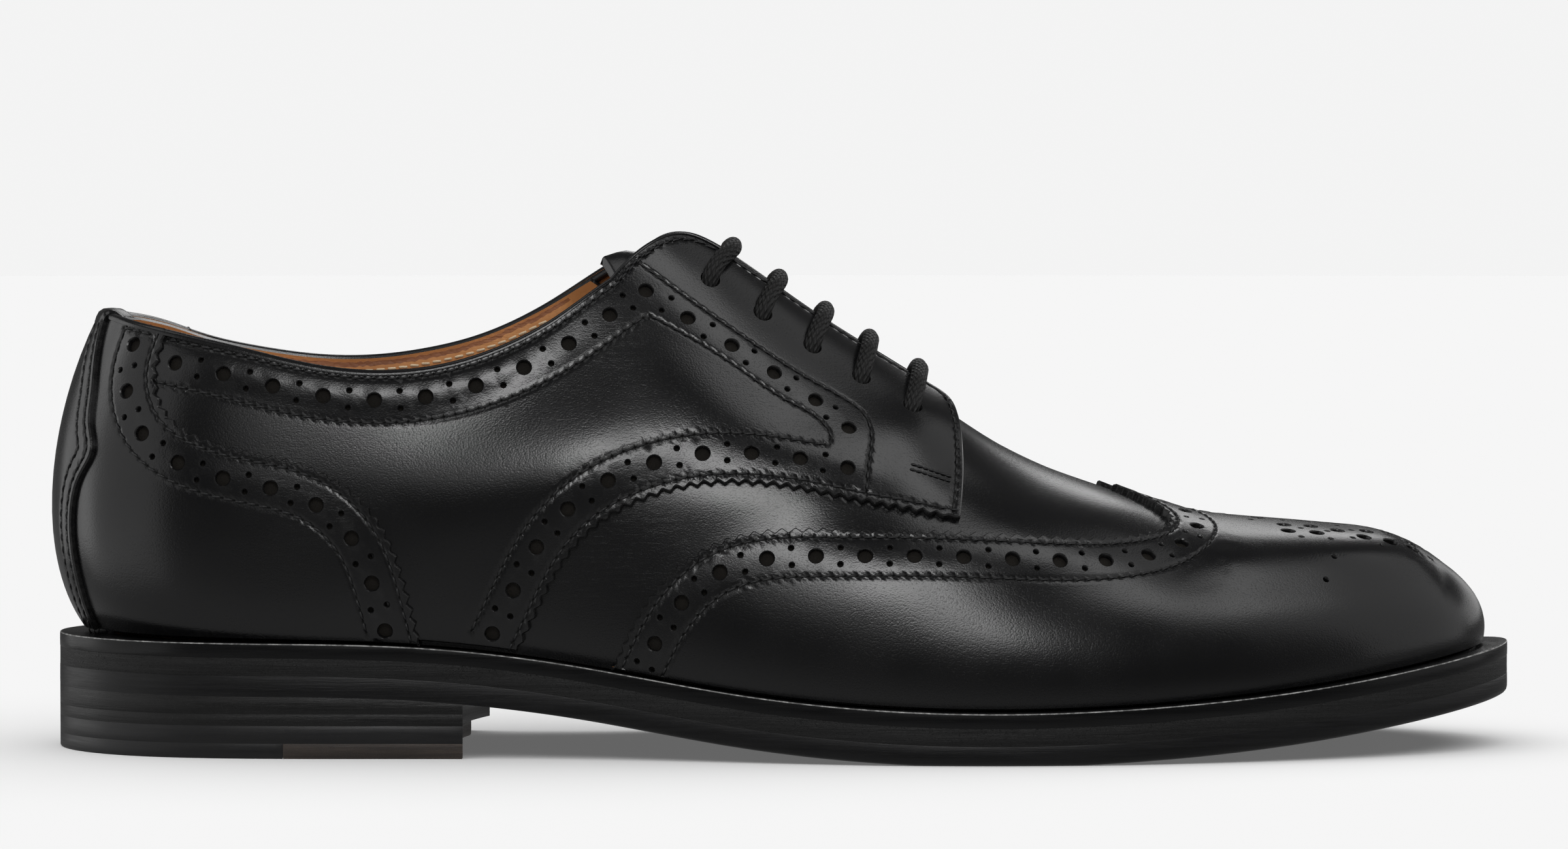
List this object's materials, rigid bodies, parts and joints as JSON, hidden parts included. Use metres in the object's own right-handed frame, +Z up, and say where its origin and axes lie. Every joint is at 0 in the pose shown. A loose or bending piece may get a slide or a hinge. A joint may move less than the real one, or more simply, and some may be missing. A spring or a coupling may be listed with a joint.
{
  "type": "brogue derby",
  "caption": "Right derby shoe with brogue panels: winged toe cap, laced quarters, heel counters and back strip on a welted sole with a stacked heel.",
  "frame": {"origin": "on the floor, under the middle of the shoe's box", "axes": "+X from heel to toe, -Y towards the shoe's outer side, +Z up"},
  "size_m": [0.305, 0.1012, 0.1088],
  "materials": {
    "upper_leather": "black box calf, fine grain, soft polish",
    "lace_cord": "black waxed braided cord",
    "insole_leather": "tan, smooth",
    "sole_leather": "black edge dressing, satin",
    "heel_rubber": "black, dull",
    "heel_leather": "dark brown-black, dull, grain showing"
  },
  "bodies": {
    "root": {"upper": "upper_leather", "wing_cap": "upper_leather", "quarter_lateral": "upper_leather", "quarter_medial": "upper_leather", "counter_lateral": "upper_leather", "counter_medial": "upper_leather", "back_strip": "upper_leather", "tongue": "upper_leather", "lace_bar_1": "lace_cord", "lace_bar_2": "lace_cord", "lace_bar_3": "lace_cord", "lace_bar_4": "lace_cord", "lace_bar_5": "lace_cord", "insole": "insole_leather", "welt": "sole_leather", "midsole": "sole_leather", "outsole": "sole_leather", "heel_lift": "sole_leather", "heel_block": "heel_rubber", "heel_top_piece": "heel_rubber", "heel_inset": "heel_leather"}
  },
  "joints": []
}
